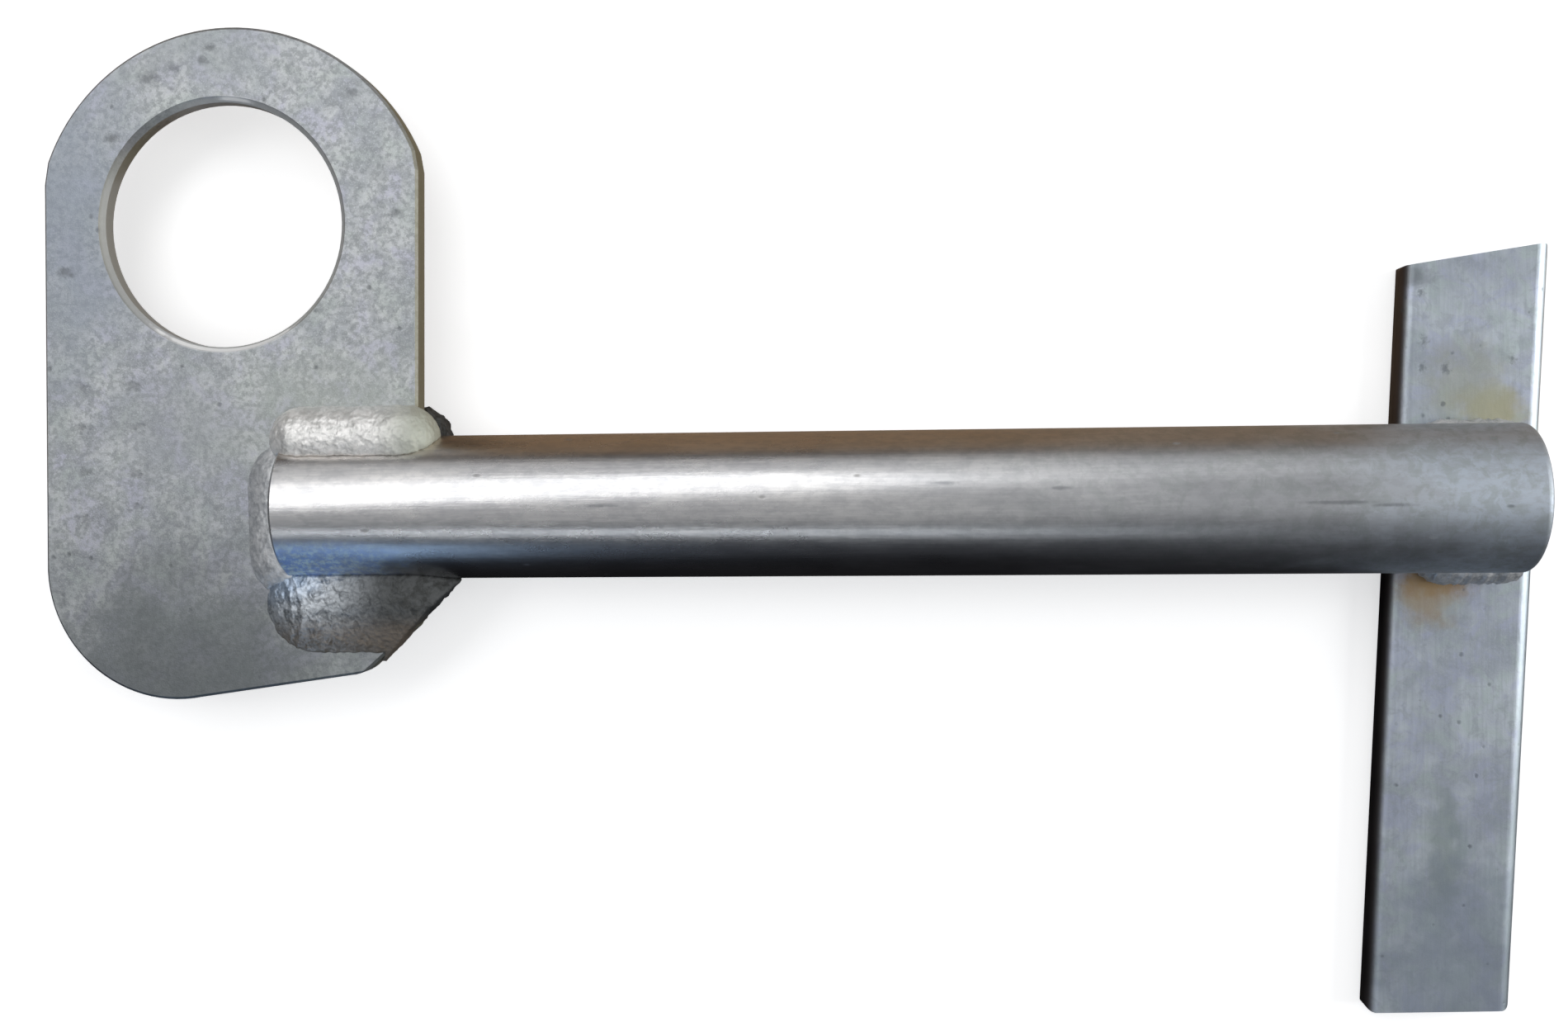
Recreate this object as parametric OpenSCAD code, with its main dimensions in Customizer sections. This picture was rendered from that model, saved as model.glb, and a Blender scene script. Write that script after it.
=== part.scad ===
// Short fabricated cane bolt: a round shank seated in a slotted eye plate, with a flat
// crossbar laid across its far end, all joined by weld runs.
// Frame: origin at the centre of the eye on the plate's mid plane, +X along the shank
// from the eye plate to the crossbar, +Y from the shank towards the eye, +Z out of the
// plate's front face. The crossbar lies on the back of the shank.

/* [Shank] */
// Diameter of the round shank
rod_d = 19.05; // [17:0.05:20]
// Length of the shank from its seated end to its free end
rod_l = 160.6; // [120:0.1:220]
// Distance of the seated end from the eye centre, along the shank
rod_start = 8.7; // [4:0.1:12]
// Distance of the shank's axis below the eye centre
rod_drop = 38; // [34:0.5:42]
// Rounding at the free end's rim
rod_tip_r = 0.9; // [0.3:0.1:2]
// Bevel at the seated end's rim
rod_seat_bevel = 0.4; // [0.2:0.1:1]

/* [Eye plate] */
// Width across the plate's straight sides
plate_w = 51.4; // [48:0.1:56]
// Thickness of the plate
plate_t = 3.4; // [3:0.1:5]
// Clockwise lean of the plate away from square with the shank, in degrees
plate_lean = 1; // [0:0.1:2]
// Distance of the plate's centre line to the right of the eye centre
plate_shift = 1.1; // [0:0.1:2]
// Diameter of the eye
eye_d = 32.6; // [28:0.1:34]
// Width of the bevel round the eye's edges
eye_bevel = 0.7; // [0.2:0.1:1]
// Radius of the plate's crown
crown_r = 27.2; // [26.5:0.1:30]
// Distance of the crown's centre below the eye centre
crown_drop = 1.1; // [0:0.1:2]
// Distance of the crown's centre to the right of the plate's centre line
crown_side = 0.25; // [0:0.05:0.5]
// Depth dressed off the corners where the crown meets the straight sides
shoulder_ease = 0.25; // [0.1:0.05:0.4]
// Radius of the large lower corner
heel_r = 17.9; // [12:0.1:19]
// Distance of the large corner's centre below the eye centre
heel_drop = 45.9; // [44:0.1:50]
// Slope of the bottom edge, in degrees
bottom_slope = 9.1; // [4:0.1:12]
// Slope of the cut lower right corner, in degrees
cut_slope = 42.6; // [38:0.1:50]
// Distance of the cut corner's turn to the right of the eye centre
cut_x = 17.3; // [15:0.1:19]
// Rounding of the cut corner's turn
cut_r = 5; // [3:0.5:6]
// Bevel along the plate's outer edges
plate_bevel = 0.35; // [0.2:0.05:0.6]

/* [Crossbar] */
// Width of the flat bar
bar_w = 19.05; // [17:0.05:21]
// Thickness of the flat bar
bar_t = 4.76; // [4.5:0.01:6.5]
// Radius of the bar's long edges
bar_edge_r = 1.9; // [0.8:0.1:2.2]
// Clockwise lean of the bar away from square with the shank, in degrees
bar_lean = 2.7; // [0:0.1:4]
// Distance of the bar's centre from the shank's seated end
bar_at = 156.4; // [110:0.1:215]
// Length of the bar's centre line above the shank's axis
bar_up = 32.2; // [20:0.1:60]
// Length of the bar's centre line below the shank's axis
bar_down = 69.5; // [40:0.1:90]
// Angle of the upper end's cut, in degrees from square
bar_up_cut = 11; // [0:0.5:15]
// Angle of the lower end's cut, in degrees from square
bar_down_cut = 4.5; // [0:0.5:8]
// Rounding of the lower end's corners
bar_corner_r = 1.3; // [0.5:0.1:2]
// Rounding of the upper end's corners
bar_tip_r = 0.8; // [0.2:0.1:1]

/* [Welds] */
// Radius of the fillet beads beside the shank
bead_r = 4.2; // [3.8:0.1:4.5]
// Distance of the fillet beads' centre lines from the shank's axis
bead_out = 9.2; // [8.8:0.1:9.6]
// Height of the fillet beads' centre lines over the plate's mid plane
bead_up = 3; // [2.5:0.1:3.5]
// Length of the front fillet bead past the shank's seated end
bead_wrap = 1.6; // [0.5:0.1:3]
// Reach of the fillet beads along the shank, from its seated end
bead_reach = 20.8; // [20:0.1:23]
// Radius of the wide pad under the shank
pad_r = 10; // [9.5:0.1:10.5]
// Distance of the pad's centre line below the shank's axis
pad_out = 12.5; // [12:0.1:13]
// Depth of the pad's centre line behind the plate's mid plane
pad_sink = 5.6; // [5.2:0.1:6]
// Length of the pad past the shank's seated end
pad_wrap = 6.5; // [6:0.1:7]
// Reach of the pad along the shank, from its seated end
pad_reach = 25; // [24:0.1:26]
// Slope of the dressed corner where the lower welds end, in degrees
dress_slope = 47; // [42:0.5:52]
// Radius of the bead round the shank's seated end
end_bead_r = 8; // [7.6:0.1:8.4]
// Depth of that bead's centre line behind the plate's mid plane
end_bead_sink = 4; // [3.6:0.1:4.4]
// Reach of that bead above the shank's axis
end_bead_high = 11.2; // [10:0.1:12]
// Reach of that bead below the shank's axis
end_bead_low = 14.2; // [13:0.1:15]
// Radius of the beads between shank and crossbar
bar_bead_r = 3.1; // [2.8:0.1:3.4]
// Length of the beads between shank and crossbar
bar_bead_l = 14; // [10:0.5:16]
// Height of those beads' centre lines over the crossbar
bar_bead_up = 2; // [1.5:0.1:2.5]
// Distance of the upper bead's centre line above the shank's axis
bar_bead_high = 7; // [6.5:0.1:8.5]
// Distance of the lower bead's centre line below the shank's axis
bar_bead_low = 8.3; // [6.5:0.1:8.5]

/* [Hidden] */
$fn = 96;

zinc = [0.62, 0.64, 0.65];
drawn_steel = [0.70, 0.69, 0.68];
blue_zinc = [0.58, 0.62, 0.67];
bright_weld = [0.78, 0.78, 0.75];
dull_weld = [0.42, 0.43, 0.44];

// Gap left between the cut pieces before welding
fit_gap = 0.1;
// Overrun of a cutter past the face it cuts
over = 0.02;
// Reach of a cutter that clears everything on its side
far = 200;
// Amount by which a rounded corner stands proud of the straight edges it joins
proud = 0.02;
// Overrun of an outline past the straight edges that it's trimmed to
margin = 0.1;

rod_r = rod_d / 2;
eye_r = eye_d / 2;
face_z = plate_t / 2;
bar_top_z = -rod_r - fit_gap;

// Plate outline in the plate's own frame. Each rounded corner is [centre, radius].
left_x = plate_shift - plate_w / 2;
right_x = plate_shift + plate_w / 2;
cut_tip_r = 1.5;
crown = [[plate_shift + crown_side, -crown_drop], crown_r];
heel = [[left_x + heel_r - proud, -heel_drop], heel_r];
cut_turn = next_corner(heel, bottom_slope, cut_x, cut_r);
cut_tip = next_corner(cut_turn, cut_slope, right_x - cut_tip_r + proud, cut_tip_r);

function at_angle(a, r) = [r * cos(a), r * sin(a)];

// Corner at x whose lower tangent continues that of a first corner at the given slope
function next_corner(first, slope, x, r) =
    let (n = at_angle(slope - 90, 1))
    [[x, (n * first[0] + first[1] - r - n.x * x) / n.y], r];

// Upward turn of a dressed shoulder's normal from that of the straight side below it
function shoulder_turn(side) = acos((plate_w / 2 - side * crown_side) / crown_r) / 2;

// Dressed shoulder on the given side, as a corner that its straight edge passes
function shoulder(side) =
    [crown[0], crown_r * cos(shoulder_turn(side)) - shoulder_ease + proud];

// Point outside a corner, in the direction of the normal to an edge of the given slope
function beside(corner, slope, reach) = corner[0] + at_angle(slope - 90, corner[1] + reach);

// Places the plate's own frame, leaning about the eye, in the part's frame
module plate_frame() {
    rotate(-plate_lean) children();
}

// Places the frame of the shank's seated end in the part's frame
module shank_frame() {
    translate([rod_start, -rod_drop, 0]) children();
}

// Everything behind the plane z = 0, as a cutter
module behind() {
    translate([-far, -far, -far]) cube([2 * far, 2 * far, far]);
}

// Half section of the plate, from x = back to a bevelled edge at x = reach
module edge_section(back, reach) {
    side_z = face_z - plate_bevel;
    polygon([[back, -face_z], [reach - plate_bevel, -face_z], [reach, -side_z],
        [reach, side_z], [reach - plate_bevel, face_z], [back, face_z]]);
}

module bevelled_disc(corner) {
    translate(corner[0]) rotate_extrude() edge_section(0, corner[1]);
}

// Everything inside the bevelled edge of the given slope that passes a corner
module inside_edge(corner, slope) {
    translate(corner[0]) rotate([90, 0, slope - 90])
        linear_extrude(2 * far, center = true) edge_section(-far, corner[1] - proud);
}

// Middle of the plate, whose corners end inside the bevelled discs
module plate_core() {
    linear_extrude(plate_t, center = true)
        polygon([beside(heel, bottom_slope, margin), beside(cut_turn, bottom_slope, margin),
            beside(cut_turn, cut_slope, margin), beside(cut_tip, cut_slope, margin),
            [right_x + margin, cut_tip[0].y], [right_x + margin, crown[0].y],
            [left_x - margin, crown[0].y], [left_x - margin, heel[0].y]]);
}

module plate_blank() {
    plate_frame()
        intersection() {
            inside_edge(heel, -90);
            inside_edge(cut_tip, 90);
            inside_edge(shoulder(1), 90 + shoulder_turn(1));
            inside_edge(shoulder(-1), -90 - shoulder_turn(-1));
            union() {
                for (corner = [heel, cut_turn, cut_tip, crown]) bevelled_disc(corner);
                intersection() {
                    plate_core();
                    inside_edge(heel, bottom_slope);
                    inside_edge(cut_tip, cut_slope);
                }
            }
        }
}

module eye_cut() {
    cylinder(h = far, r = eye_r, center = true);
    for (turn = [0, 180])
        rotate([turn, 0, 0]) translate([0, 0, face_z - eye_bevel])
            cylinder(h = eye_bevel + over, r1 = eye_r, r2 = eye_r + eye_bevel + over);
}

module seat_slot() {
    half = rod_r + fit_gap;
    shank_frame() translate([-fit_gap, -half, -far / 2]) cube([far, 2 * half, far]);
}

module eye_plate() {
    color(zinc)
        difference() {
            plate_blank();
            eye_cut();
            seat_slot();
        }
}

module shank() {
    color(drawn_steel) shank_frame()
        rotate([0, 90, 0]) rotate_extrude() {
            polygon([[0, 0], [rod_r - rod_seat_bevel, 0], [rod_r, rod_seat_bevel],
                [rod_r, rod_l - rod_tip_r], [0, rod_l - rod_tip_r]]);
            square([rod_r - rod_tip_r, rod_l]);
            translate([rod_r - rod_tip_r, rod_l - rod_tip_r]) circle(rod_tip_r);
        }
}

// Places the crossbar's own frame, on its front face's centre line, in the part's frame
module bar_frame() {
    shank_frame() translate([bar_at, 0, bar_top_z]) rotate(-bar_lean) children();
}

// Corner of the bar on the given side, at the end cut by the given angle
function bar_corner(side, end_y, cut, r) =
    let (x = side * (bar_w / 2 - r + proud))
    [[x, end_y + x * tan(cut) - sign(end_y) * (r - proud) / cos(cut)], r];

// Outline of the bar's ends, wider than the bar between its corners
module bar_ends() {
    low_left = bar_corner(-1, -bar_down, bar_down_cut, bar_corner_r);
    low_right = bar_corner(1, -bar_down, bar_down_cut, bar_corner_r);
    high_right = bar_corner(1, bar_up, bar_up_cut, bar_tip_r);
    high_left = bar_corner(-1, bar_up, bar_up_cut, bar_tip_r);
    polygon([beside(low_left, -90, margin),
        beside(low_left, bar_down_cut, -proud), beside(low_right, bar_down_cut, -proud),
        beside(low_right, 90, margin), beside(high_right, 90, margin),
        beside(high_right, bar_up_cut + 180, -proud), beside(high_left, bar_up_cut + 180, -proud),
        beside(high_left, -90, margin)]);
    for (corner = [low_left, low_right, high_right, high_left])
        translate(corner[0]) circle(corner[1]);
}

module bar_section() {
    x = bar_w / 2 - bar_edge_r;
    y = bar_t / 2 - bar_edge_r;
    translate([0, -bar_t / 2]) {
        square([2 * x, bar_t], center = true);
        square([bar_w, 2 * y], center = true);
        for (side_x = [-x, x], side_y = [-y, y])
            translate([side_x, side_y]) circle(bar_edge_r);
    }
}

module crossbar() {
    color(blue_zinc) bar_frame()
        intersection() {
            rotate([90, 0, 0]) linear_extrude(far, center = true) bar_section();
            linear_extrude(far, center = true) bar_ends();
        }
}

// Round-ended bead of overall length l, from the origin along +X
module bead(r, l) {
    rotate([0, 90, 0]) rotate_extrude()
        intersection() {
            square([far, far]);
            union() {
                translate([0, r]) square([r, l - 2 * r]);
                for (y = [r, l - r]) translate([0, y]) circle(r);
            }
        }
}

// Fillet bead beside the shank, on the side and face given by signs
module fillet_bead(side, face, wrap) {
    translate([-wrap, side * bead_out, face * bead_up]) bead(bead_r, bead_reach + wrap);
}

// Wide pad under the shank
module pad_bead() {
    translate([-pad_wrap, -pad_out, -pad_sink]) bead(pad_r, pad_reach + pad_wrap);
}

// Corner below the shank that is dressed back in line with the plate's cut corner
module dressed_corner() {
    plate_frame() translate(beside(cut_tip, cut_slope, 0)) rotate(dress_slope)
        translate([-far, -far, -far]) cube([2 * far, far, 2 * far]);
}

// The plate and shank as one body, filling the slot, that the beads are laid against
module joined_metal() {
    plate_blank();
    shank();
}

module upper_front_weld() {
    color(bright_weld)
        difference() {
            shank_frame() fillet_bead(1, 1, bead_wrap);
            joined_metal();
            behind();
        }
}

module end_front_weld() {
    color(zinc)
        difference() {
            shank_frame() translate([0, -end_bead_low, -end_bead_sink])
                rotate(90) bead(end_bead_r, end_bead_low + end_bead_high);
            joined_metal();
            behind();
            shank_frame() fillet_bead(1, 1, bead_wrap);
            shank_frame() pad_bead();
        }
}

module lower_front_weld() {
    color(dull_weld)
        difference() {
            shank_frame() pad_bead();
            joined_metal();
            behind();
            dressed_corner();
        }
}

module upper_rear_weld() {
    color(dull_weld)
        difference() {
            shank_frame() fillet_bead(1, -1, 0);
            joined_metal();
            mirror([0, 0, 1]) behind();
        }
}

module lower_rear_weld() {
    color(dull_weld)
        difference() {
            shank_frame() fillet_bead(-1, -1, 0);
            joined_metal();
            mirror([0, 0, 1]) behind();
            dressed_corner();
        }
}

// Bead in the groove between shank and crossbar, its centre line at the given y
module bar_weld(y) {
    color(zinc)
        difference() {
            shank_frame() translate([bar_at - bar_bead_l / 2, y, bar_top_z + bar_bead_up])
                bead(bar_bead_r, bar_bead_l);
            shank();
            translate([0, 0, bar_top_z]) behind();
        }
}

module crossbar_upper_weld() {
    bar_weld(bar_bead_high);
}

module crossbar_lower_weld() {
    bar_weld(-bar_bead_low);
}

eye_plate();
shank();
crossbar();
upper_front_weld();
end_front_weld();
lower_front_weld();
upper_rear_weld();
lower_rear_weld();
crossbar_upper_weld();
crossbar_lower_weld();
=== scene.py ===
"""Looks of the short fabricated cane bolt: rippled weld runs, zinc and drawn steel, floor, lights and camera."""

import math

import bpy
import numpy as np
from mathutils import Matrix, Vector, noise


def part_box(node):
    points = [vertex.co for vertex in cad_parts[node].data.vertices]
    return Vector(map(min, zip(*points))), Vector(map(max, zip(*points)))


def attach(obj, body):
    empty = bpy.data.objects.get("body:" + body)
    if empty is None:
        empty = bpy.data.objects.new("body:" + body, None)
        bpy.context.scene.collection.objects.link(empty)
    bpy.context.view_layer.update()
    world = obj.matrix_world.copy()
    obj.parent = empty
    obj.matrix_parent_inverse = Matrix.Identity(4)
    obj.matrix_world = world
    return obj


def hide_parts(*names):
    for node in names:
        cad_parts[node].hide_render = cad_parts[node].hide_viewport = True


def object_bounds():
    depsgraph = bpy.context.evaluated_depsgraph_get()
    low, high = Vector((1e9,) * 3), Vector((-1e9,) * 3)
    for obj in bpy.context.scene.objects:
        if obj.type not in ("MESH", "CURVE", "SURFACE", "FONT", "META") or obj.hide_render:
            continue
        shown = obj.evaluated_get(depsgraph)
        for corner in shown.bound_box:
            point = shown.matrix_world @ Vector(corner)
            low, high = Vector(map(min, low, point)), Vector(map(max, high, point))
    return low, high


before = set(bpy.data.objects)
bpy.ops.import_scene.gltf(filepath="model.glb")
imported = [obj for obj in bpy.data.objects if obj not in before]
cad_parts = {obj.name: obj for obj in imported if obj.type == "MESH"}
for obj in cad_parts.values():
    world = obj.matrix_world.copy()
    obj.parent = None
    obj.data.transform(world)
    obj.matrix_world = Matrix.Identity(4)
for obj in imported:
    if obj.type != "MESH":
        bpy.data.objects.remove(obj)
cad_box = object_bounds()

MM = 0.001

# The viewpoint, in the part's frame: metres and degrees
CAMERA_PLACE = (0.0909, -0.0336, 0.2056)
CAMERA_YAW = 4.467
CAMERA_PITCH = 1.736
CAMERA_ROLL = 0.591
CAMERA_LENS = 36.0
SENSOR_WIDTH = 36.0

# The skins of the weld runs
SKIN_VOXEL = 0.2 * MM
COARSE_LUMP = 1.6  # mm
FINE_LUMP = 0.6  # mm
FINE_SHARE = 0.45  # height of the fine lumps against the coarse ones
RIPPLE_HALF_WIDTH = 6 * MM

# The floor is lit up with distance, so that it meets the white background unseen
FLOOR_REACH = 40.0
FLOOR_GLOW_NEAR, FLOOR_GLOW_FAR = 0.55, 1.0
FLOOR_GLOW_FROM, FLOOR_GLOW_TO = 0.25, 1.2

# What the metal picks up from the floor, below the shank and above it, and from the world
DARK_BENCH = (0.018, 0.017, 0.018)
BROWN_BENCH = (0.34, 0.25, 0.17)
DIM_ROOM = (0.042, 0.043, 0.047)

WHITE = (1, 1, 1)

# Soft boxes: tilt towards +X and +Y in degrees, distance, width and height in metres, radiance, colour
PANELS = {
    "window": (-23, 26, 0.70, 0.76, 0.33, 1.95, WHITE),
    "sky": (0, 58, 0.80, 1.5, 0.55, 0.64, WHITE),
    "ceiling": (0, -2, 0.80, 1.4, 0.74, 0.43, WHITE),
    "strip": (-16, -42, 0.70, 0.70, 0.035, 4.4, (0.90, 0.95, 1.0)),
    "side": (72, 10, 0.70, 0.30, 0.60, 5.0, WHITE),
    "cool": (-66, -76, 0.72, 0.12, 0.26, 2.9, (0.44, 0.67, 1.0)),
}

shank_low, shank_high = (Vector(corner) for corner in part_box("shank"))
plate_low, plate_high = (Vector(corner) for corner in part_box("eye_plate"))
bar_low, bar_high = (Vector(corner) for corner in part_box("crossbar"))
shank_centre = (shank_low + shank_high) / 2
shank_radius = (shank_high.y - shank_low.y) / 2
shank_length = shank_high.x - shank_low.x
bar_centre = (bar_low + bar_high) / 2
eye_radius = min(vertex.co.xy.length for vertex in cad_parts["eye_plate"].data.vertices)


class Finish:
    """
    A node material, built on one Principled shader. Grains, radii and depths are in millimetres on the object, and
    places are in metres in the part's frame. A mask is a value from 0 to 1.
    """

    def __init__(self, name):
        self.material = bpy.data.materials.new(name)
        self.material.use_nodes = True
        self.tree = self.material.node_tree
        self.shader = self.tree.nodes["Principled BSDF"]
        self.place = self.tree.nodes.new("ShaderNodeTexCoord").outputs["Object"]
        self.x, self.y, self.z = self.parts(self.place)
        self.rims = {}  # the noise that breaks up the rims of spots, by its grain

    def put(self, socket, value):
        """Links a socket or sets a plain value."""
        if isinstance(value, bpy.types.NodeSocket):
            self.tree.links.new(value, socket)
        else:
            socket.default_value = value

    def parts(self, vector):
        split = self.tree.nodes.new("ShaderNodeSeparateXYZ")
        self.tree.links.new(vector, split.inputs[0])
        return split.outputs

    def math(self, operation, a, b=0.0, clamp=False):
        n = self.tree.nodes.new("ShaderNodeMath")
        n.operation = operation
        n.use_clamp = clamp
        self.put(n.inputs[0], a)
        self.put(n.inputs[1], b)
        return n.outputs[0]

    def vector_math(self, operation, a, b=None, output="Vector"):
        n = self.tree.nodes.new("ShaderNodeVectorMath")
        n.operation = operation
        self.put(n.inputs[0], a)
        if b is not None:
            self.put(n.inputs[1], b)
        return n.outputs[output]

    def scaled(self, value, amount, base=0.0):
        return self.math("ADD", self.math("MULTIPLY", value, amount), base)

    def inverse(self, mask):
        return self.math("SUBTRACT", 1.0, mask)

    def largest(self, masks):
        total = masks[0]
        for mask in masks[1:]:
            total = self.math("MAXIMUM", total, mask)
        return total

    def span(self, value, low, high, curve="SMOOTHSTEP"):
        """0 at low, 1 at high, smooth between."""
        n = self.tree.nodes.new("ShaderNodeMapRange")
        n.interpolation_type = curve
        self.put(n.inputs["Value"], value)
        n.inputs["From Min"].default_value = low
        n.inputs["From Max"].default_value = high
        return n.outputs["Result"]

    def stretched(self, stretch, shift):
        """The place on the object, squeezed so that a pattern comes out longer along a stretched axis."""
        mapping = self.tree.nodes.new("ShaderNodeMapping")
        mapping.inputs["Scale"].default_value = [1 / s for s in stretch]
        mapping.inputs["Location"].default_value = shift
        self.tree.links.new(self.place, mapping.inputs["Vector"])
        return mapping.outputs[0]

    def noise(self, grain, detail=3.0, rough=0.55, stretch=(1, 1, 1), shift=0.0, warp=0.0):
        """Cloudy value around 0.5, its features about grain mm across."""
        n = self.tree.nodes.new("ShaderNodeTexNoise")
        n.inputs["Scale"].default_value = 1 / (grain * MM)
        n.inputs["Detail"].default_value = detail
        n.inputs["Roughness"].default_value = rough
        n.inputs["Distortion"].default_value = warp
        place = self.stretched(stretch, (shift, 0.7 * shift, -0.4 * shift))
        self.tree.links.new(place, n.inputs["Vector"])
        return n.outputs["Fac"]

    def cells(self, grain, stretch=(1, 1, 1), shift=0.0):
        """Distance to scattered points, for pits and sparkle."""
        n = self.tree.nodes.new("ShaderNodeTexVoronoi")
        n.inputs["Scale"].default_value = 1 / (grain * MM)
        place = self.stretched(stretch, (shift, 0.3 * shift, 0.9 * shift))
        self.tree.links.new(place, n.inputs["Vector"])
        return n.outputs["Distance"]

    def spot(self, centre, radii, edge=0.5, ragged=0.0, grain=3.0):
        """
        1 inside an ellipsoid, falling to 0 at its rim. edge is where the fall starts, as a share of the radius, and
        ragged is how far noise of the given grain breaks the rim up.
        """
        away = self.vector_math("SUBTRACT", self.place, centre)
        away = self.vector_math("MULTIPLY", away, [1 / (r * MM) for r in radii])
        distance = self.vector_math("LENGTH", away, output="Value")
        if ragged:
            if grain not in self.rims:
                self.rims[grain] = self.math("SUBTRACT", self.noise(grain, detail=4.0), 0.5)
            distance = self.math("ADD", distance, self.math("MULTIPLY", self.rims[grain], ragged))
        return self.inverse(self.span(distance, edge, 1.0))

    def facing(self, axis):
        """How far the surface faces along an axis, -1 to 1."""
        normal = self.tree.nodes.new("ShaderNodeNewGeometry").outputs["Normal"]
        return self.parts(normal)["XYZ".index(axis)]

    def mix(self, mask, a, b):
        n = self.tree.nodes.new("ShaderNodeMix")
        n.data_type = "RGBA"
        self.put(n.inputs["Factor"], mask)
        sockets = [s for s in n.inputs if s.type == "RGBA"]
        for socket, colour in zip(sockets, (a, b)):
            self.put(socket, colour if isinstance(colour, bpy.types.NodeSocket) else (*colour, 1.0))
        return [s for s in n.outputs if s.type == "RGBA"][0]

    def tinted(self, colour, mask, amount, tint):
        return self.mix(self.scaled(mask, amount), colour, tint)

    def layered(self, colour, layers):
        """Tints a colour by a list of (value, low, high, amount, tint), each coming in from low to high."""
        for value, low, high, amount, tint in layers:
            colour = self.tinted(colour, self.span(value, low, high), amount, tint)
        return colour

    def stained(self, colour, stains, **rim):
        """Tints a colour by a list of (centre, radii, tint, amount). rim is how the stains end."""
        for centre, radii, tint, amount in stains:
            colour = self.tinted(colour, self.spot(centre, radii, **rim), amount, tint)
        return colour

    def bump(self, height, depth, below=None):
        """Relief of the given depth from a height of 0 to 1, over the relief below it."""
        n = self.tree.nodes.new("ShaderNodeBump")
        n.inputs["Strength"].default_value = 1.0
        n.inputs["Distance"].default_value = depth * MM
        self.tree.links.new(height, n.inputs["Height"])
        if below is not None:
            self.tree.links.new(below, n.inputs["Normal"])
        return n.outputs["Normal"]

    def finish(self, colour, roughness, normal, metallic=1.0):
        self.put(self.shader.inputs["Metallic"], metallic)
        self.put(self.shader.inputs["Base Color"], colour)
        self.put(self.shader.inputs["Roughness"], roughness)
        self.put(self.shader.inputs["Normal"], normal)
        return self.material


def plate_zinc():
    """Dull zinc over sheared plate: blotched grey with lilac and green in it, darker at the far and lower ends."""
    f = Finish("plate_zinc")
    clouds = f.noise(7.0, detail=5.0, rough=0.6, warp=0.4)
    speckle = f.noise(0.75, detail=4.0, rough=0.7, shift=0.3)
    grain = f.noise(0.22, detail=2.0, shift=0.8)
    painted_shade_wall = f.span(f.facing("X"), 0.3, 0.9)
    pits = plate_pits(f, speckle)
    marks = f.largest(punch_marks(f))
    rim, painted_highlight = eye_rim(f)

    colour = plate_blotches(f, clouds, speckle, grain)
    # Painted shade: the right-facing side wall is darkened to a dark brown and made less metallic.
    colour = f.tinted(colour, painted_shade_wall, 0.9, (0.27, 0.25, 0.16))
    colour = f.tinted(colour, pits, 0.55, (0.14, 0.15, 0.16))
    colour = f.tinted(colour, marks, 0.32, (0.17, 0.18, 0.18))
    # Painted light: the eye's broken edge turns paler and less metallic, and a near-white painted highlight runs
    # along its lip.
    colour = f.tinted(colour, rim, 0.7, (0.52, 0.53, 0.52))
    colour = f.mix(painted_highlight, colour, (0.97, 0.98, 0.98))
    metallic = f.inverse(f.largest([f.scaled(rim, 0.75), f.scaled(painted_highlight, 0.95), f.scaled(painted_shade_wall, 0.5)]))
    roughness = f.math("ADD", f.scaled(clouds, 0.16, 0.40), f.scaled(speckle, 0.16))
    height = f.math("ADD", f.scaled(speckle, 0.6), f.scaled(grain, 0.4))
    normal = f.bump(height, 0.045)
    normal = f.bump(f.inverse(f.largest([marks, pits])), 0.03, below=normal)
    return f.finish(colour, roughness, normal, metallic)


def plate_blotches(f, clouds, speckle, grain):
    """The plate's colour before its marks: layers of mottle, then broad tints."""
    hue = f.noise(6.0, detail=4.0, rough=0.6, shift=2.9, warp=0.7)
    blotch = f.noise(2.6, detail=4.0, rough=0.7, shift=1.7, warp=0.8)
    colour = f.mix(f.span(clouds, 0.35, 0.66), (0.42, 0.445, 0.47), (0.64, 0.66, 0.67))
    lilac, green = (0.54, 0.54, 0.66), (0.50, 0.56, 0.51)
    colour = f.layered(colour, (
        (hue, 0.50, 0.62, 0.50, lilac),
        (hue, 0.48, 0.36, 0.35, green),
        (blotch, 0.46, 0.62, 0.50, (0.33, 0.35, 0.37)),
        (speckle, 0.44, 0.60, 0.60, (0.32, 0.34, 0.35)),
        (grain, 0.52, 0.72, 0.35, (0.76, 0.79, 0.82)),
    ))
    stains = (
        ((-0.021, 0.002, 0.0), (15, 32, 12), (0.34, 0.38, 0.44), 0.75),
        ((-0.004, 0.025, 0.0), (26, 11, 12), (0.38, 0.41, 0.43), 0.50),
        ((-0.006, -0.027, 0.0), (14, 14, 12), (0.38, 0.40, 0.43), 0.40),
        ((0.014, shank_centre.y + 0.012, 0.0), (22, 14, 12), (0.50, 0.54, 0.47), 0.35),
        ((-0.006, plate_low.y, 0.0), (44, 32, 30), (0.17, 0.185, 0.19), 0.85),
    )
    return f.stained(colour, stains, edge=0.1, ragged=0.6, grain=6.0)


def plate_pits(f, speckle):
    """Fine pits in patches, with a handling scar and dents round the eye."""
    pits = f.math("ADD", f.cells(3.2, shift=0.2), f.scaled(speckle, 0.20, -0.10))
    pits = f.inverse(f.span(pits, 0.03, 0.14))
    pits = f.math("MULTIPLY", pits, f.span(f.noise(8.0, shift=0.6), 0.46, 0.58))
    dents = (
        (-0.0010, 0.0235, 0.9), (-0.0022, 0.0218, 0.9), (-0.0060, 0.0208, 0.9), (-0.0095, 0.0196, 1.6),
        (-0.0149, 0.0117, 1.2), (0.0183, 0.0170, 1.0), (0.0240, 0.0010, 1.0), (-0.0216, -0.0060, 1.3),
    )
    face = plate_high.z
    spots = [f.spot((x, y, face), (1.3 * r, 0.8 * r, 2.0), edge=0.1, ragged=1.7, grain=0.9) for x, y, r in dents]
    return f.largest([pits, *spots])


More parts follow.
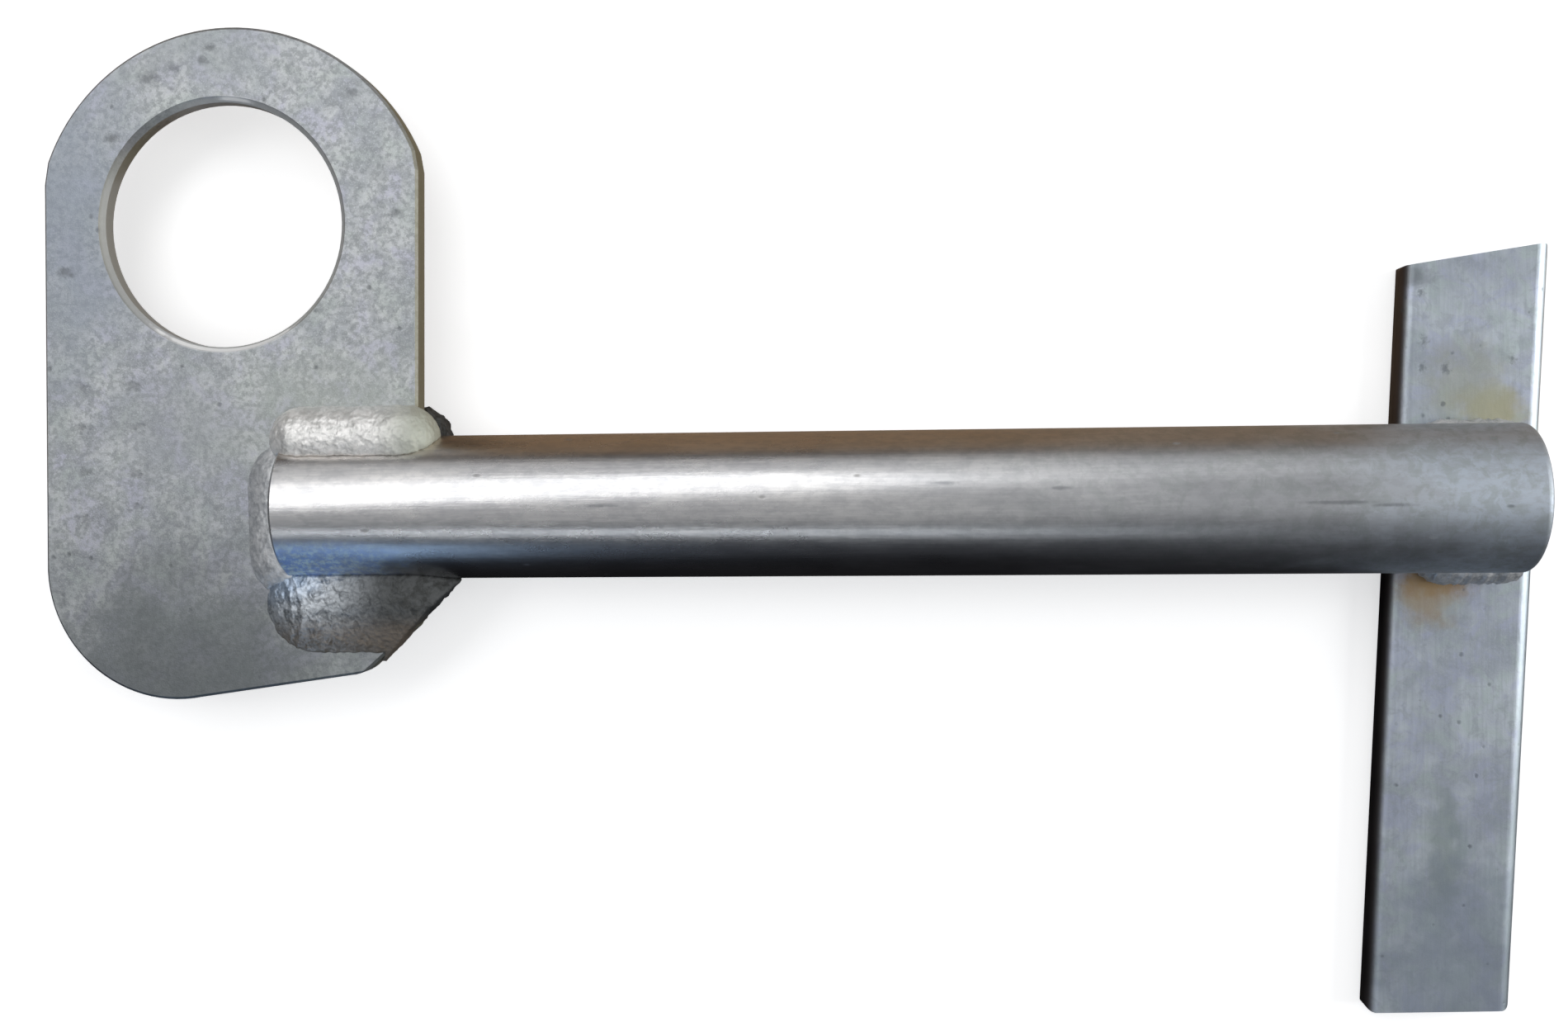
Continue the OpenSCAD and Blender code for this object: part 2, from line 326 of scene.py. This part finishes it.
def punch_marks(f):
    """Two uneven columns of faint punch dents near the plate's far edge."""
    columns = {
        -0.0124: (-0.0214, -0.0270, -0.0332, -0.0376),
        -0.0198: (-0.0215, -0.0270, -0.0330, -0.0392),
    }
    places = [(x, y, plate_high.z) for x, column in columns.items() for y in column]
    return [f.spot(place, (1.5, 0.9, 2.0), edge=0.2, ragged=1.8, grain=0.9) for place in places]


def eye_rim(f):
    """Masks for the eye's broken edge, painted paler except on its shaded far side, and for a painted highlight
    along that edge.
    """
    reach = f.math("SQRT", f.math("ADD", f.math("MULTIPLY", f.x, f.x), f.math("MULTIPLY", f.y, f.y)))
    face = plate_high.z
    rim = f.inverse(f.span(reach, eye_radius + 0.35 * MM, eye_radius + 0.9 * MM))
    shaded = f.spot((-0.66 * eye_radius, 0.75 * eye_radius, face), (9, 9, 9), edge=0.2, ragged=0.3)
    lip = f.span(reach, eye_radius + 0.10 * MM, eye_radius + 0.35 * MM)
    lip = f.math("MULTIPLY", lip, f.scaled(rim, 1.6))
    # The painted highlight runs along the near lip and a short stretch of the far lip.
    near = f.spot((0.001, -eye_radius, face), (13, 7, 9), edge=0.45, ragged=0.9, grain=1.6)
    far = f.spot((0.0022, eye_radius, face), (3.2, 3.2, 9), edge=0.2, ragged=0.8, grain=1.6)
    painted_highlight = f.math("MULTIPLY", lip, f.largest([near, f.scaled(far, 0.8)]), clamp=True)
    return f.math("MULTIPLY", rim, f.inverse(shaded)), painted_highlight


def shank_steel():
    """Drawn bar under thin zinc: bright, finely streaked along its length, duller and bluer at the free end."""
    f = Finish("shank_steel")
    streaks = f.noise(0.30, detail=4.0, rough=0.6, stretch=(26, 1, 1))
    clouds = f.noise(6.0, detail=5.0, rough=0.6, stretch=(2.5, 1, 1), warp=0.3)
    grain = f.noise(0.25, detail=2.0, shift=0.5)
    along = f.math("ADD", f.x, f.scaled(clouds, 0.04, -0.02))
    dull = f.span(along, shank_low.x + 0.36 * shank_length, shank_low.x + 0.90 * shank_length)
    duller = f.span(along, shank_low.x + 0.78 * shank_length, shank_low.x + 0.97 * shank_length)
    under = f.span(f.y, shank_centre.y - 0.30 * shank_radius, shank_centre.y - 0.75 * shank_radius)
    # Where the painted bluish reflection goes: the underside beside the weld.
    beside_weld = f.spot((shank_low.x, shank_centre.y, 0.0), (22, 22, 22), edge=0.4, ragged=0.5)
    painted_blue_reflection = f.math("MULTIPLY", under, beside_weld)
    pits = f.inverse(f.span(f.cells(2.6, stretch=(2.2, 1, 1)), 0.04, 0.13))
    pits = f.math("MULTIPLY", pits, f.span(f.noise(9.0, shift=0.6), 0.42, 0.6))

    colour = f.mix(f.span(clouds, 0.3, 0.7), (0.58, 0.58, 0.59), (0.76, 0.75, 0.74))
    colour = f.tinted(colour, f.span(streaks, 0.35, 0.65), 0.30, (0.44, 0.44, 0.46))
    colour = f.tinted(colour, dull, 0.55, (0.50, 0.53, 0.57))
    colour = f.tinted(colour, duller, 0.80, (0.55, 0.62, 0.70))
    colour = shank_stains(f, colour, dull, duller, under, painted_blue_reflection)
    colour = f.tinted(colour, pits, 0.45, (0.20, 0.19, 0.18))
    mottle = f.noise(1.0, detail=4.0, rough=0.65, stretch=(1.8, 1, 1), shift=0.35)
    colour = f.tinted(colour, f.span(mottle, 0.42, 0.62), 0.30, (0.38, 0.39, 0.41))
    patches = f.noise(2.2, detail=4.0, rough=0.7, shift=1.1, warp=0.6)
    bloom = f.math("MULTIPLY", dull, f.span(patches, 0.46, 0.60))
    colour = f.tinted(colour, bloom, 0.40, (0.38, 0.42, 0.41))
    colour = f.tinted(colour, f.largest(scratches(f)), 0.55, (0.20, 0.21, 0.23))

    roughness = f.math("ADD", f.scaled(clouds, 0.12, 0.215), f.scaled(dull, 0.14))
    for mask, amount in ((duller, 0.16), (painted_blue_reflection, 0.34), (pits, 0.3)):
        roughness = f.math("ADD", roughness, f.scaled(mask, amount), clamp=True)
    height = f.math("ADD", f.scaled(streaks, 0.55), f.scaled(grain, 0.45))
    normal = f.bump(height, 0.016)
    normal = f.bump(f.inverse(pits), 0.008, below=normal)
    return f.finish(colour, roughness, normal)


def shank_stains(f, colour, dull, duller, under, painted_blue_reflection):
    """A painted warm reflection on the upper side, painted shade on the underside and a painted bluish reflection
    beside the weld.
    """
    top = f.span(f.y, shank_centre.y + 0.50 * shank_radius, shank_high.y)
    # Painted reflection: the upper side is tinted warm brown, less so towards the dull end.
    warm = f.math("MULTIPLY", top, f.scaled(dull, -0.8, 1.0))
    colour = f.tinted(colour, warm, 0.75, (0.66, 0.54, 0.43))
    # Painted shade: the underside is darkened, except at the duller free end.
    painted_shade_under = f.math("MULTIPLY", under, f.inverse(duller))
    colour = f.tinted(colour, painted_shade_under, 0.40, (0.26, 0.25, 0.27))
    # Painted reflection: a bright bluish patch beside the weld, flecked.
    flecks = f.span(f.noise(0.9, detail=5.0, rough=0.7, shift=2.2), 0.42, 0.62)
    return f.tinted(colour, painted_blue_reflection, 0.95, f.mix(flecks, (0.38, 0.56, 0.92), (0.78, 0.94, 1.0)))


def scratches(f):
    """Short scratches along the front of the shank, as shares of its length and radius, and mm long."""
    places = ((0.54, 0.28, 2.5), (0.63, 0.20, 2.0), (0.84, -0.02, 6.0), (0.88, -0.06, 3.5), (0.27, 0.02, 3.0))
    marks = []
    for along, up, length in places:
        x = shank_low.x + along * shank_length
        y = shank_centre.y + up * shank_radius
        marks.append(f.spot((x, y, shank_high.z), (length, 0.35, 3.0), edge=0.2, ragged=1.2, grain=1.2))
    return marks


def bar_zinc():
    """Bluish zinc over flat bar, with olive and brown heat stains either side of the shank."""
    f = Finish("bar_zinc")
    clouds = f.noise(8.0, detail=5.0, rough=0.6, warp=0.5)
    brushed = f.noise(0.45, detail=3.0, rough=0.6, stretch=(1, 14, 1))
    grain = f.noise(0.25, detail=2.0, shift=0.4)
    hue = f.noise(4.0, detail=4.0, rough=0.6, shift=1.9, warp=0.7)
    blotch = f.noise(2.0, detail=4.0, rough=0.7, shift=2.7, warp=0.8)
    pits = f.math("ADD", f.cells(3.4, shift=0.7), f.scaled(blotch, 0.24, -0.12))
    pits = f.largest([f.inverse(f.span(pits, 0.02, 0.12)), *bar_dents(f)])

    colour = f.mix(f.span(clouds, 0.35, 0.66), (0.45, 0.50, 0.57), (0.62, 0.68, 0.74))
    green, violet = (0.52, 0.62, 0.60), (0.50, 0.54, 0.72)
    colour = f.layered(colour, (
        (hue, 0.50, 0.64, 0.50, green),
        (hue, 0.50, 0.38, 0.45, violet),
        (blotch, 0.48, 0.64, 0.40, (0.36, 0.40, 0.45)),
        (brushed, 0.40, 0.68, 0.26, (0.34, 0.38, 0.43)),
        (grain, 0.5, 0.7, 0.25, (0.62, 0.66, 0.70)),
    ))
    colour = f.stained(colour, bar_stains(), edge=0.25, ragged=1.1, grain=2.6)
    # Painted shade: faces turned towards -X are darkened to near black; faces turned towards +X are tinted a plain
    # bluish grey.
    colour = f.layered(colour, (
        (f.facing("X"), -0.25, -0.85, 0.95, (0.12, 0.10, 0.095)),
        (f.facing("X"), 0.2, 0.6, 0.7, (0.46, 0.53, 0.56)),
    ))
    colour = f.tinted(colour, pits, 0.55, (0.13, 0.15, 0.17))
    roughness = f.math("ADD", f.scaled(clouds, 0.18, 0.32), f.scaled(brushed, 0.12))
    height = f.math("ADD", f.scaled(brushed, 0.6), f.scaled(grain, 0.4))
    normal = f.bump(height, 0.022)
    normal = f.bump(f.inverse(pits), 0.02, below=normal)
    return f.finish(colour, roughness, normal)


def bar_stains():
    """Heat stains above and below the shank, a grey corner, and broad dark patches down the bar."""
    x = bar_centre.x
    above, below, face = shank_high.y, shank_low.y, bar_high.z
    return (
        ((x + 0.004, above + 0.002, face), (6.5, 4.5, 6), (0.46, 0.42, 0.20), 0.70),
        ((x + 0.001, above + 0.005, face), (8.0, 9.0, 6), (0.44, 0.46, 0.38), 0.50),
        ((x - 0.003, below - 0.001, face), (6.5, 3.6, 6), (0.36, 0.22, 0.09), 0.90),
        ((x - 0.004, below - 0.004, face), (5.5, 5.5, 6), (0.42, 0.31, 0.18), 0.65),
        ((x - 0.006, bar_high.y - 0.004, face), (3.6, 2.2, 6), (0.20, 0.22, 0.25), 0.65),
        ((x - 0.002, below - 0.038, face), (4.0, 12.0, 6), (0.30, 0.36, 0.34), 0.50),
        ((x, bar_low.y, face), (16, 34, 8), (0.33, 0.39, 0.47), 0.55),
    )


def bar_dents(f):
    """Dents in the crossbar's face beside the shank."""
    places = (
        (-0.0046, 0.0112, 0.9), (-0.0018, 0.0075, 0.9), (0.0068, 0.0086, 0.8),
        (-0.0048, 0.0077, 0.7), (-0.0050, 0.0177, 0.7),
    )
    spots = [((bar_centre.x + x, shank_high.y + y, bar_high.z), r) for x, y, r in places]
    return [f.spot(place, (r, 1.2 * r, 2.0), edge=0.0, ragged=2.2, grain=0.6) for place, r in spots]


def weld_metal(name, light, dark, roughness, depth, metallic=1.0, tail=None, tail_span=(-7, 2), painted_blue_reflection=0.0):
    """
    Weld metal under zinc. Light and dark are its two greys. Tail is its tint past the plate's edge, coming in over
    tail_span mm from that edge, and painted_blue_reflection is how strongly a bluish reflection is painted beside
    the shank.
    """
    f = Finish(name)
    lumps = f.noise(1.3, detail=4.0, rough=0.65, warp=0.6)
    sparkle = f.cells(0.55)
    grain = f.noise(0.25, detail=2.0, shift=0.9)
    colour = f.mix(f.span(lumps, 0.38, 0.62), dark, light)
    lighter = [min(1.0, 1.2 * c) for c in light]
    colour = f.tinted(colour, f.span(grain, 0.5, 0.75), 0.3, lighter)
    if tail:
        start, end = (plate_high.x + mm * MM for mm in tail_span)
        past = f.span(f.math("ADD", f.x, f.scaled(lumps, 0.006, -0.003)), start, end)
        colour = f.tinted(colour, past, 0.85, tail)
        roughness = f.scaled(past, 0.22, roughness)
    if painted_blue_reflection:
        # Painted reflection: a bluish patch on the weld beside the shank.
        beside = f.spot((shank_low.x, shank_low.y, shank_centre.z), (7, 5, 12), edge=0.2, ragged=0.8)
        colour = f.tinted(colour, beside, painted_blue_reflection, (0.40, 0.58, 0.85))
        toe = f.span(f.y, shank_low.y - 0.004, shank_low.y - 0.0085)
        colour = f.tinted(colour, toe, 0.8, (0.34, 0.28, 0.22))
    height = f.math("ADD", f.scaled(lumps, 0.5), f.scaled(sparkle, 0.5))
    normal = f.bump(height, depth)
    normal = f.bump(grain, 0.03, below=normal)
    gloss = f.math("ADD", f.scaled(lumps, 0.25, -0.1), f.scaled(grain, 0.1))
    return f.finish(colour, f.math("ADD", gloss, roughness), normal, metallic)


def link(thing):
    bpy.context.scene.collection.objects.link(thing)
    return thing


def smooth_copy(node, name):
    """A fine, even copy of a CAD node's surface to shape."""
    source = link(bpy.data.objects.new(name + "_source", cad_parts[node].data.copy()))
    remesh = source.modifiers.new("even", "REMESH")
    remesh.mode = "VOXEL"
    remesh.voxel_size = SKIN_VOXEL
    evaluated = source.evaluated_get(bpy.context.evaluated_depsgraph_get())
    mesh = bpy.data.meshes.new_from_object(evaluated)
    bpy.data.objects.remove(source)
    mesh.materials.clear()
    return link(bpy.data.objects.new(name, mesh))


def vertices_and_normals(mesh):
    count = len(mesh.vertices)
    points = np.empty(count * 3)
    normals = np.empty(count * 3)
    mesh.vertices.foreach_get("co", points)
    mesh.vertex_normals.foreach_get("vector", normals)
    return points.reshape(-1, 3), normals.reshape(-1, 3)


def lumpiness(points, grain, seed):
    """Cloudy height from -1 to 1 at each point."""
    shift = Vector((seed, 2.3 * seed, -1.7 * seed))
    return np.array([noise.fractal(Vector(p) / (grain * MM) + shift, 0.8, 2.1, 3) for p in points])


def ripples(points, centre_y, pitch, bow):
    """Height of the crescent ripples a weld run leaves, pitch and bow in mm, each bowed towards the run's end."""
    across = (points[:, 1] - centre_y) / RIPPLE_HALF_WIDTH
    phase = (points[:, 0] / MM + bow * across**2) / pitch
    uneven = phase + 0.18 * np.sin(2.3 * phase)
    return 1 - 2 * np.abs(np.sin(np.pi * uneven)) ** 0.7


def weld_run(node, material, lump, ripple, seed, pitch=1.5, bow=2.6, grow=0.12):
    """A rippled, lumpy weld run in place of a CAD bead. lump, ripple and grow are heights in mm."""
    piece = smooth_copy(node, node + "_run")
    points, normals = vertices_and_normals(piece.data)
    low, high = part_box(node)
    height = grow + lump * lumpiness(points, COARSE_LUMP, seed)
    height += FINE_SHARE * lump * lumpiness(points, FINE_LUMP, seed + 5)
    height += ripple * ripples(points, (low[1] + high[1]) / 2, pitch, bow)
    moved = points + normals * (height * MM)[:, None]
    piece.data.vertices.foreach_set("co", moved.ravel())
    piece.data.update()
    piece.data.polygons.foreach_set("use_smooth", [True] * len(piece.data.polygons))
    piece.data.materials.append(material)
    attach(piece, "root")
    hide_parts(node)


def coat(node, material):
    """Gives a CAD node its finish."""
    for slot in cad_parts[node].material_slots:
        slot.material = material


def build_pieces():
    coat("eye_plate", plate_zinc())
    coat("shank", shank_steel())
    coat("crossbar", bar_zinc())
    # Painted light: a lit, paler copy of the weld metal for the upper front weld, which faces the light.
    bright = weld_metal(
        "bright_weld", (1.0, 0.99, 0.97), (0.72, 0.72, 0.70), roughness=0.36, depth=0.13, metallic=0.5,
        tail=(0.50, 0.53, 0.44), tail_span=(-6, 2),
    )
    # Painted shade: a shaded, darker copy of the same weld metal for the welds under the shank and behind the
    # plate; its near-black tail past the plate's edge is painted shade too.
    dull = weld_metal(
        "dull_weld", (0.66, 0.70, 0.74), (0.26, 0.28, 0.30), roughness=0.36, depth=0.15, metallic=0.75,
        tail=(0.035, 0.035, 0.03), tail_span=(-15, -3), painted_blue_reflection=0.5,
    )
    plain = weld_metal(
        "plate_weld", (0.80, 0.81, 0.82), (0.58, 0.60, 0.62), roughness=0.48, depth=0.05, metallic=0.75,
    )
    weld_run("upper_front_weld", bright, lump=0.13, ripple=0.03, seed=1.0)
    weld_run("end_front_weld", plain, lump=0.10, ripple=0.0, seed=2.0)
    weld_run("lower_front_weld", dull, lump=0.10, ripple=0.06, seed=3.0, pitch=1.9)
    weld_run("upper_rear_weld", dull, lump=0.20, ripple=0.16, seed=4.0)
    weld_run("lower_rear_weld", dull, lump=0.20, ripple=0.16, seed=5.0)
    weld_run("crossbar_upper_weld", plain, lump=0.16, ripple=0.12, seed=6.0)
    weld_run("crossbar_lower_weld", plain, lump=0.16, ripple=0.12, seed=7.0)


def sees_camera(tree, seen, lit):
    """Shader that is one thing to the eye and another to the light that it sends on to the metal."""
    path = tree.nodes.new("ShaderNodeLightPath")
    mixer = tree.nodes.new("ShaderNodeMixShader")
    tree.links.new(path.outputs["Is Camera Ray"], mixer.inputs[0])
    tree.links.new(lit.outputs[0], mixer.inputs[1])
    tree.links.new(seen.outputs[0], mixer.inputs[2])
    return mixer.outputs[0]


def floor_material():
    """Pale to the eye. What the metal picks up from it is dark below the shank and a warm brown above it."""
    f = Finish("floor")
    distance = f.vector_math("LENGTH", f.place, output="Value")
    glow = f.scaled(
        f.span(distance, FLOOR_GLOW_FROM, FLOOR_GLOW_TO), FLOOR_GLOW_FAR - FLOOR_GLOW_NEAR, FLOOR_GLOW_NEAR
    )
    pale = f.shader
    pale.inputs["Base Color"].default_value = (0.90, 0.90, 0.90, 1)
    pale.inputs["Specular IOR Level"].default_value = 0.0
    pale.inputs["Emission Color"].default_value = (*WHITE, 1)
    f.put(pale.inputs["Emission Strength"], glow)
    bench = f.tree.nodes.new("ShaderNodeBsdfDiffuse")
    above = f.span(f.y, shank_low.y, shank_high.y, curve="LINEAR")
    f.put(bench.inputs["Color"], f.mix(above, DARK_BENCH, BROWN_BENCH))
    f.put(f.tree.nodes["Material Output"].inputs["Surface"], sees_camera(f.tree, pale, bench))
    return f.material


def build_floor():
    """A wide floor touching the shank's seated end and the crossbar's back, as the bolt lies."""
    slope = (bar_low.z - shank_low.z) / (bar_centre.x - shank_low.x)
    reach = FLOOR_REACH
    corners = ((-reach, -reach), (reach, -reach), (reach, reach), (-reach, reach))
    points = [(x, y, shank_low.z + slope * (x - shank_low.x)) for x, y in corners]
    mesh = bpy.data.meshes.new("floor")
    mesh.from_pydata(points, [], [(0, 1, 2, 3)])
    mesh.materials.append(floor_material())
    link(bpy.data.objects.new("floor", mesh))


def soft_panel(name, tilt_x, tilt_y, distance, width, height, radiance, colour):
    """A soft box aimed at the bolt."""
    direction = Vector((math.tan(math.radians(tilt_x)), math.tan(math.radians(tilt_y)), 1)).normalized()
    light = bpy.data.lights.new(name, "AREA")
    light.shape = "RECTANGLE"
    light.size, light.size_y = width, height
    light.energy = radiance * math.pi * width * height
    light.color = colour
    panel = link(bpy.data.objects.new(name, light))
    target = Vector(((cad_box[0][0] + cad_box[1][0]) / 2, shank_centre.y, 0))
    panel.location = target + direction * distance
    panel.rotation_euler = direction.to_track_quat("Z", "Y").to_euler()


def build_world():
    """White to the eye, and dim to the metal."""
    world = bpy.data.worlds.new("studio")
    bpy.context.scene.world = world
    world.use_nodes = True
    tree = world.node_tree
    tree.nodes.clear()
    pale, dim = (tree.nodes.new("ShaderNodeBackground") for _ in range(2))
    pale.inputs["Color"].default_value = (*WHITE, 1)
    dim.inputs["Color"].default_value = (*DIM_ROOM, 1)
    output = tree.nodes.new("ShaderNodeOutputWorld")
    tree.links.new(sees_camera(tree, pale, dim), output.inputs["Surface"])


def build_camera():
    data = bpy.data.cameras.new("camera")
    data.lens = CAMERA_LENS
    data.sensor_width = SENSOR_WIDTH
    data.sensor_fit = "HORIZONTAL"
    data.clip_start = 0.01
    camera = link(bpy.data.objects.new("camera", data))
    yaw = Matrix.Rotation(math.radians(CAMERA_YAW), 4, "Y")
    pitch = Matrix.Rotation(-math.radians(CAMERA_PITCH), 4, "X")
    roll = Matrix.Rotation(-math.radians(CAMERA_ROLL), 4, "Z")
    camera.matrix_world = Matrix.Translation(CAMERA_PLACE) @ yaw @ pitch @ roll
    bpy.context.scene.camera = camera
    bpy.context.scene.view_settings.view_transform = "Standard"


build_camera()
build_pieces()
build_floor()
for name, panel in PANELS.items():
    soft_panel(name, *panel)
build_world()
